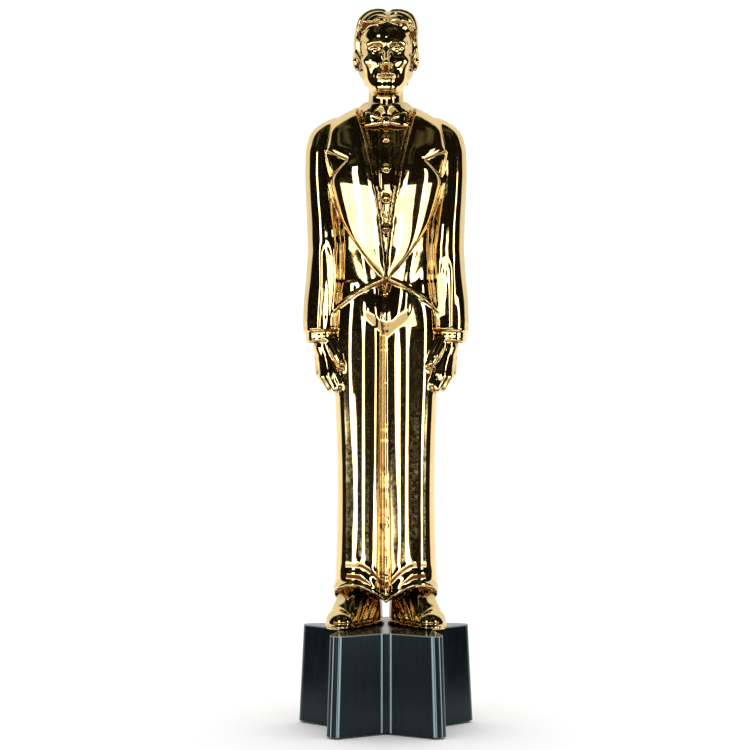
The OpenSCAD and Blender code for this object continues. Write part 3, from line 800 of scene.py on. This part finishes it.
def colours(nodes, links, source, stops):
    r = nodes.new("ShaderNodeValToRGB")
    r.color_ramp.elements[0].position, r.color_ramp.elements[0].color = stops[0][0], (*stops[0][1], 1)
    r.color_ramp.elements[1].position, r.color_ramp.elements[1].color = stops[-1][0], (*stops[-1][1], 1)
    for at, colour in stops[1:-1]:
        r.color_ramp.elements.new(at).color = (*colour, 1)
    links.new(source, r.inputs["Fac"])
    return r.outputs["Color"]


def maths(nodes, links, operation, *values):
    m = nodes.new("ShaderNodeMath")
    m.operation = operation
    for n, value in enumerate(values):
        if isinstance(value, (int, float)):
            m.inputs[n].default_value = value
        else:
            links.new(value, m.inputs[n])
    return m.outputs["Value"]


def mixed(nodes, links, amount, first, second):
    m = nodes.new("ShaderNodeMix")
    m.data_type = "RGBA"
    links.new(amount, m.inputs[0])
    links.new(first, m.inputs[6])
    m.inputs[7].default_value = (*second, 1)
    return m.outputs[2]


def bumped(nodes, links, shader, height, strength, distance):
    b = nodes.new("ShaderNodeBump")
    b.inputs["Strength"].default_value = strength
    b.inputs["Distance"].default_value = distance
    links.new(height, b.inputs["Height"])
    links.new(b.outputs["Normal"], shader.inputs["Normal"])
    return b


def gold_material():
    m, nodes, links, shader = material("mirror_gold", (0.93, 0.69, 0.31), 1.0, 0.05)
    film = noise(nodes, links, 140)
    plating = colours(nodes, links, film.outputs["Fac"],
                      [(0.25, (0.90, 0.65, 0.27)), (0.5, (0.94, 0.70, 0.32)), (0.8, (0.97, 0.77, 0.40))])
    # Painted shade: the gold turns dark brown in narrow recesses, by ambient occlusion
    recess = nodes.new("ShaderNodeAmbientOcclusion")
    recess.samples = 6
    recess.inputs["Distance"].default_value = 0.007
    painted_recess_shade = spread(nodes, links, recess.outputs["AO"], 0.92, 0, 0.42, 0.86)
    links.new(mixed(nodes, links, painted_recess_shade, plating, (0.20, 0.085, 0.02)), shader.inputs["Base Color"])
    haze = noise(nodes, links, 900, 6)
    links.new(spread(nodes, links, haze.outputs["Fac"], 0.03, 0.08), shader.inputs["Roughness"])
    skin = noise(nodes, links, 420, 3)
    bumped(nodes, links, shader, skin.outputs["Fac"], 0.04, 0.0001)
    return m


def black_material():
    m, nodes, links, shader = material("gloss_black", (0.006, 0.011, 0.013), 0.0, 0.2)
    shader.inputs["Specular IOR Level"].default_value = 0.3
    shader.inputs["Specular Tint"].default_value = (0.72, 0.95, 1.0, 1)
    cloud = noise(nodes, links, 60)
    tone = colours(nodes, links, cloud.outputs["Fac"],
                   [(0.3, (0.002, 0.004, 0.005)), (0.7, (0.006, 0.010, 0.012))])
    place = nodes.new("ShaderNodeTexCoord")
    where = nodes.new("ShaderNodeSeparateXYZ")
    links.new(place.outputs["Object"], where.inputs[0])
    shape = nodes.new("ShaderNodeNewGeometry")
    facing = nodes.new("ShaderNodeSeparateXYZ")
    links.new(shape.outputs["Normal"], facing.inputs[0])
    side_on = spread(nodes, links, facing.outputs["Z"], 1, 0, 0.80, 0.95)
    # Painted highlight: a light line along the top edge of the sides, just under the deck
    rim_highlight = spread(nodes, links, where.outputs["Z"], 0, 1, (DECK - 0.45) * MM, (DECK - 0.25) * MM)
    rim_highlight = maths(nodes, links, "MULTIPLY", rim_highlight, side_on)
    # Painted highlights on the corners: two thin upright light lines on each, towards the front, set by the
    # way the surface faces, and a line either side of the front notch
    half = maths(nodes, links, "SIGN", where.outputs["X"])
    outward = maths(nodes, links, "MULTIPLY", half, facing.outputs["X"])
    front = spread(nodes, links, facing.outputs["Y"], 1, 0, -0.55, -0.45)
    painted_highlight_lines = 0
    for centre, width in ((-0.20, 0.12), (0.0, 0.05), (0.585, 0.06)):
        off = maths(nodes, links, "ABSOLUTE", maths(nodes, links, "SUBTRACT", outward, centre))
        band = spread(nodes, links, off, 1, 0, width * 0.5, width)
        painted_highlight_lines = maths(nodes, links, "ADD", band, painted_highlight_lines)
    across = maths(nodes, links, "ABSOLUTE", where.outputs["X"])
    painted_highlight_lines = maths(nodes, links, "MULTIPLY", painted_highlight_lines, spread(nodes, links, across, 0, 1, 0.0011, 0.0013))
    beside = maths(nodes, links, "ABSOLUTE", maths(nodes, links, "SUBTRACT", across, 0.0014))
    painted_highlight_lines = maths(nodes, links, "ADD", painted_highlight_lines, spread(nodes, links, beside, 1, 0, 0.00012, 0.00035))
    painted_highlight_lines = maths(nodes, links, "MULTIPLY", maths(nodes, links, "MULTIPLY", painted_highlight_lines, front), side_on)
    # The painted highlights laid over the base tone: the light rim line, then the upright lines
    tone_with_painted_highlights = mixed(nodes, links, rim_highlight, tone, (0.13, 0.17, 0.18))
    tone_with_painted_highlights = mixed(nodes, links, painted_highlight_lines, tone_with_painted_highlights, (0.32, 0.41, 0.45))
    links.new(tone_with_painted_highlights, shader.inputs["Base Color"])
    scuff = noise(nodes, links, 700, 6, (1, 1, 0.12))
    rough = spread(nodes, links, scuff.outputs["Fac"], 0.10, 0.20)
    links.new(maths(nodes, links, "ADD", rough, maths(nodes, links, "MULTIPLY", side_on, 0.10)),
              shader.inputs["Roughness"])
    drawn = noise(nodes, links, 1500, 2, (1, 1, 0.04))
    bumped(nodes, links, shader, drawn.outputs["Fac"], 0.12, 0.0001)
    return m


def metal_material(name, low, high, rough, scale):
    m, nodes, links, shader = material(name, high, 1.0, rough)
    grain = noise(nodes, links, scale, 5)
    tone = colours(nodes, links, grain.outputs["Fac"], [(0.3, low), (0.7, high)])
    links.new(tone, shader.inputs["Base Color"])
    matt = spread(nodes, links, grain.outputs["Fac"], rough * 0.8, rough * 1.5)
    links.new(matt, shader.inputs["Roughness"])
    fine = noise(nodes, links, scale * 4, 3)
    bumped(nodes, links, shader, fine.outputs["Fac"], 0.25, 0.0001)
    return m


def rubber_material():
    m, nodes, links, shader = material("pad_rubber", (0.03, 0.03, 0.03), 0.0, 0.8)
    grain = noise(nodes, links, 2500, 4)
    tone = colours(nodes, links, grain.outputs["Fac"],
                   [(0.3, (0.02, 0.02, 0.02)), (0.7, (0.05, 0.05, 0.05))])
    links.new(tone, shader.inputs["Base Color"])
    links.new(spread(nodes, links, grain.outputs["Fac"], 0.7, 0.95), shader.inputs["Roughness"])
    bumped(nodes, links, shader, grain.outputs["Fac"], 0.4, 0.0002)
    return m


def dress(node, m):
    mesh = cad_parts[node].data
    mesh.materials.clear()
    mesh.materials.append(m)


def soften(node, width, angle=30):
    """Rounds a CAD node's crisp edges a little and shades it smooth, as moulded parts are."""
    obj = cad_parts[node]
    for poly in obj.data.polygons:
        poly.use_smooth = True
    bevel = obj.modifiers.new("edge", "BEVEL")
    bevel.width = width
    bevel.segments = 2
    bevel.limit_method = "ANGLE"
    bevel.angle_limit = math.radians(angle)
    bevel.harden_normals = True
    return obj


# ---------------------------------------------------------------- assembly

gold = gold_material()
black = black_material()
steel = metal_material("zinc_steel", (0.45, 0.45, 0.47), (0.72, 0.72, 0.74), 0.28, 500)
iron = metal_material("cast_iron", (0.10, 0.10, 0.10), (0.26, 0.26, 0.27), 0.55, 300)
brass = metal_material("turned_brass", (0.62, 0.45, 0.18), (0.83, 0.64, 0.32), 0.22, 500)
rubber = rubber_material()

meshes = [net(field, *grid) for field, grid in grids()]
for name, side in (("figure_front_shell", -1), ("figure_back_shell", 1)):
    piece = half_object(name, meshes, side)
    piece.data.materials.append(gold)
    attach(piece, "root")
    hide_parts("figure_front" if side < 0 else "figure_back")

dress("base_shell", black)
dress("base_cover", black)
dress("ballast", iron)
for name in ("foot_insert_left", "foot_insert_right"):
    dress(name, brass)
for name in ("figure_screw_left", "figure_screw_right", "figure_washer_left", "figure_washer_right"):
    dress(name, steel)
for n in range(1, 6):
    dress("cover_screw_%d" % n, steel)
    dress("foot_pad_%d" % n, rubber)
soften("base_shell", 0.0003)
soften("base_cover", 0.00015)
for n in range(1, 6):
    soften("foot_pad_%d" % n, 0.0003)


# ---------------------------------------------------------------- studio

def flat_material(name, colour, roughness=0.6):
    return material(name, colour, 0.0, roughness)[0]


def light(name, place, target, size, power, colour=(1, 1, 1)):
    data = bpy.data.lights.new(name, "AREA")
    data.shape = "RECTANGLE"
    data.size, data.size_y = size
    data.energy = power
    data.color = colour
    obj = bpy.data.objects.new(name, data)
    obj.location = place
    obj.rotation_euler = (Vector(target) - Vector(place)).to_track_quat("-Z", "Y").to_euler()
    bpy.context.collection.objects.link(obj)
    return obj


bpy.ops.mesh.primitive_plane_add(size=80, location=(0, 0, -0.0001))
floor = bpy.context.object
floor.name = "studio_floor"
floor.data.materials.append(flat_material("studio_paper", (0.95, 0.95, 0.95), 0.9))


def reflected_only(obj):
    """A studio card that shows in reflections, and not to the camera or as a shadow."""
    obj.visible_camera = False
    obj.visible_diffuse = False
    obj.visible_shadow = False
    obj.visible_transmission = False
    obj.visible_volume_scatter = False


def floor_card(name, middle, reach, inner, outer, lift, glow=None, colour=(1, 1, 1)):
    """Part of a ring on the floor that only gloss sees: a dark card that paints shade into reflections, or a
    glowing card that paints light into them.
    """
    steps = max(2, int(reach / 2))
    verts = []
    for n in range(steps + 1):
        a = math.radians(middle - reach + 2 * reach * n / steps)
        for r in (inner, outer):
            verts.append((r * math.sin(a), -r * math.cos(a), lift))
    faces = [(2 * n, 2 * n + 1, 2 * n + 3, 2 * n + 2) for n in range(steps)]
    mesh = bpy.data.meshes.new(name)
    mesh.from_pydata(verts, [], faces)
    obj = bpy.data.objects.new(name, mesh)
    m, _, _, shader = material(name, (0.012, 0.009, 0.006), 0.0, 1.0)
    shader.inputs["Specular IOR Level"].default_value = 0
    if glow:
        shader.inputs["Emission Color"].default_value = (*colour, 1)
        shader.inputs["Emission Strength"].default_value = glow
    obj.data.materials.append(m)
    bpy.context.collection.objects.link(obj)
    reflected_only(obj)


# Painted reflections: glowing rings for light and dark rings for shade on the floor, seen only in
# reflections; the dim brown glow paints a warm shaded floor near the base
floor_card("lit_floor", 0, 70, 0.48, 2.3, 0.0004, 2.2)
floor_card("pale_glow_for_reflections", 0, 70, 0.23, 0.49, 0.0005, 0.75, (1, 0.96, 0.86))
floor_card("brown_shade_for_reflections", 0, 70, 0.08, 0.24, 0.0006, 0.13, (1, 0.38, 0.2))
floor_card("dark_card_for_reflections_far", 0, 100, 2.2, 70, 0.0007)
floor_card("dark_card_for_reflections_left", -86, 15, 0.10, 2.3, 0.0008)
floor_card("dark_card_for_reflections_right", 86, 15, 0.10, 2.3, 0.0008)
floor_card("dark_streak_for_reflections", 38, 8, 0.2, 2.3, 0.0010)

world = bpy.data.worlds.new("studio")
bpy.context.scene.world = world
world.use_nodes = True
wn, wl = world.node_tree.nodes, world.node_tree.links
background = wn["Background"]
coords = wn.new("ShaderNodeTexCoord")
facing = wn.new("ShaderNodeVectorMath")
facing.operation = "DOT_PRODUCT"
facing.inputs[1].default_value = (0, 1, 0.42)
wl.new(coords.outputs["Generated"], facing.inputs[0])
toward = wn.new("ShaderNodeMapRange")
toward.inputs["From Min"].default_value = 0.12
toward.inputs["From Max"].default_value = 0.24
wl.new(facing.outputs["Value"], toward.inputs["Value"])
patches = wn.new("ShaderNodeTexNoise")
patches.inputs["Scale"].default_value = 3.2
patches.inputs["Detail"].default_value = 3
wl.new(coords.outputs["Generated"], patches.inputs["Vector"])
dark = wn.new("ShaderNodeValToRGB")
dark.color_ramp.elements[0].position = 0.5
dark.color_ramp.elements[0].color = (0.006, 0.0045, 0.003, 1)
dark.color_ramp.elements[1].position = 0.72
dark.color_ramp.elements[1].color = (0.10, 0.11, 0.07, 1)
height = wn.new("ShaderNodeSeparateXYZ")
wl.new(coords.outputs["Generated"], height.inputs[0])
high = wn.new("ShaderNodeMapRange")
high.inputs["From Min"].default_value = 0.12
high.inputs["From Max"].default_value = 0.35
wl.new(height.outputs["Z"], high.inputs["Value"])
only_high = wn.new("ShaderNodeMath")
only_high.operation = "MULTIPLY"
wl.new(patches.outputs["Fac"], only_high.inputs[0])
wl.new(high.outputs["Result"], only_high.inputs[1])
wl.new(only_high.outputs["Value"], dark.inputs["Fac"])
shade = wn.new("ShaderNodeMix")
shade.data_type = "RGBA"
shade.inputs[7].default_value = (0.86, 0.86, 0.86, 1)
wl.new(toward.outputs["Result"], shade.inputs[0])
wl.new(dark.outputs["Color"], shade.inputs[6])
rays = wn.new("ShaderNodeLightPath")
choose = wn.new("ShaderNodeMix")
choose.data_type = "RGBA"
choose.inputs[6].default_value = (1.16, 1.16, 1.16, 1)
wl.new(rays.outputs["Is Glossy Ray"], choose.inputs[0])
wl.new(shade.outputs[2], choose.inputs[7])
wl.new(choose.outputs[2], background.inputs["Color"])
background.inputs["Strength"].default_value = 1.0


def softbox(name, azimuth, distance, low, high, width, radiance):
    """A tall strip light that stands at azimuth degrees from the front, towards +X."""
    a = math.radians(azimuth)
    middle = (low + high) / 2
    power = radiance * math.pi * width * (high - low)
    obj = light(name, (distance * math.sin(a), -distance * math.cos(a), middle), (0, 0, middle),
                (width, high - low), power)
    obj.visible_camera = False
    obj.visible_diffuse = False


softbox("strip_left", -29, 0.9, 0.0, 0.34, 0.17, 3.8)
softbox("strip_front", 5, 1.3, 0.0, 0.27, 0.28, 3)
softbox("strip_right", 50, 0.9, 0.0, 0.30, 0.13, 3.8)

camera_data = bpy.data.cameras.new("camera")
camera_data.lens = 96
camera_data.sensor_width = 36
camera_data.clip_start = 0.01
camera = bpy.data.objects.new("camera", camera_data)
camera.location = (-0.0035, -0.6386, 0.1116)
camera.rotation_euler = (math.radians(90), 0, 0)
bpy.context.collection.objects.link(camera)
bpy.context.scene.camera = camera
bpy.context.scene.view_settings.view_transform = "Standard"
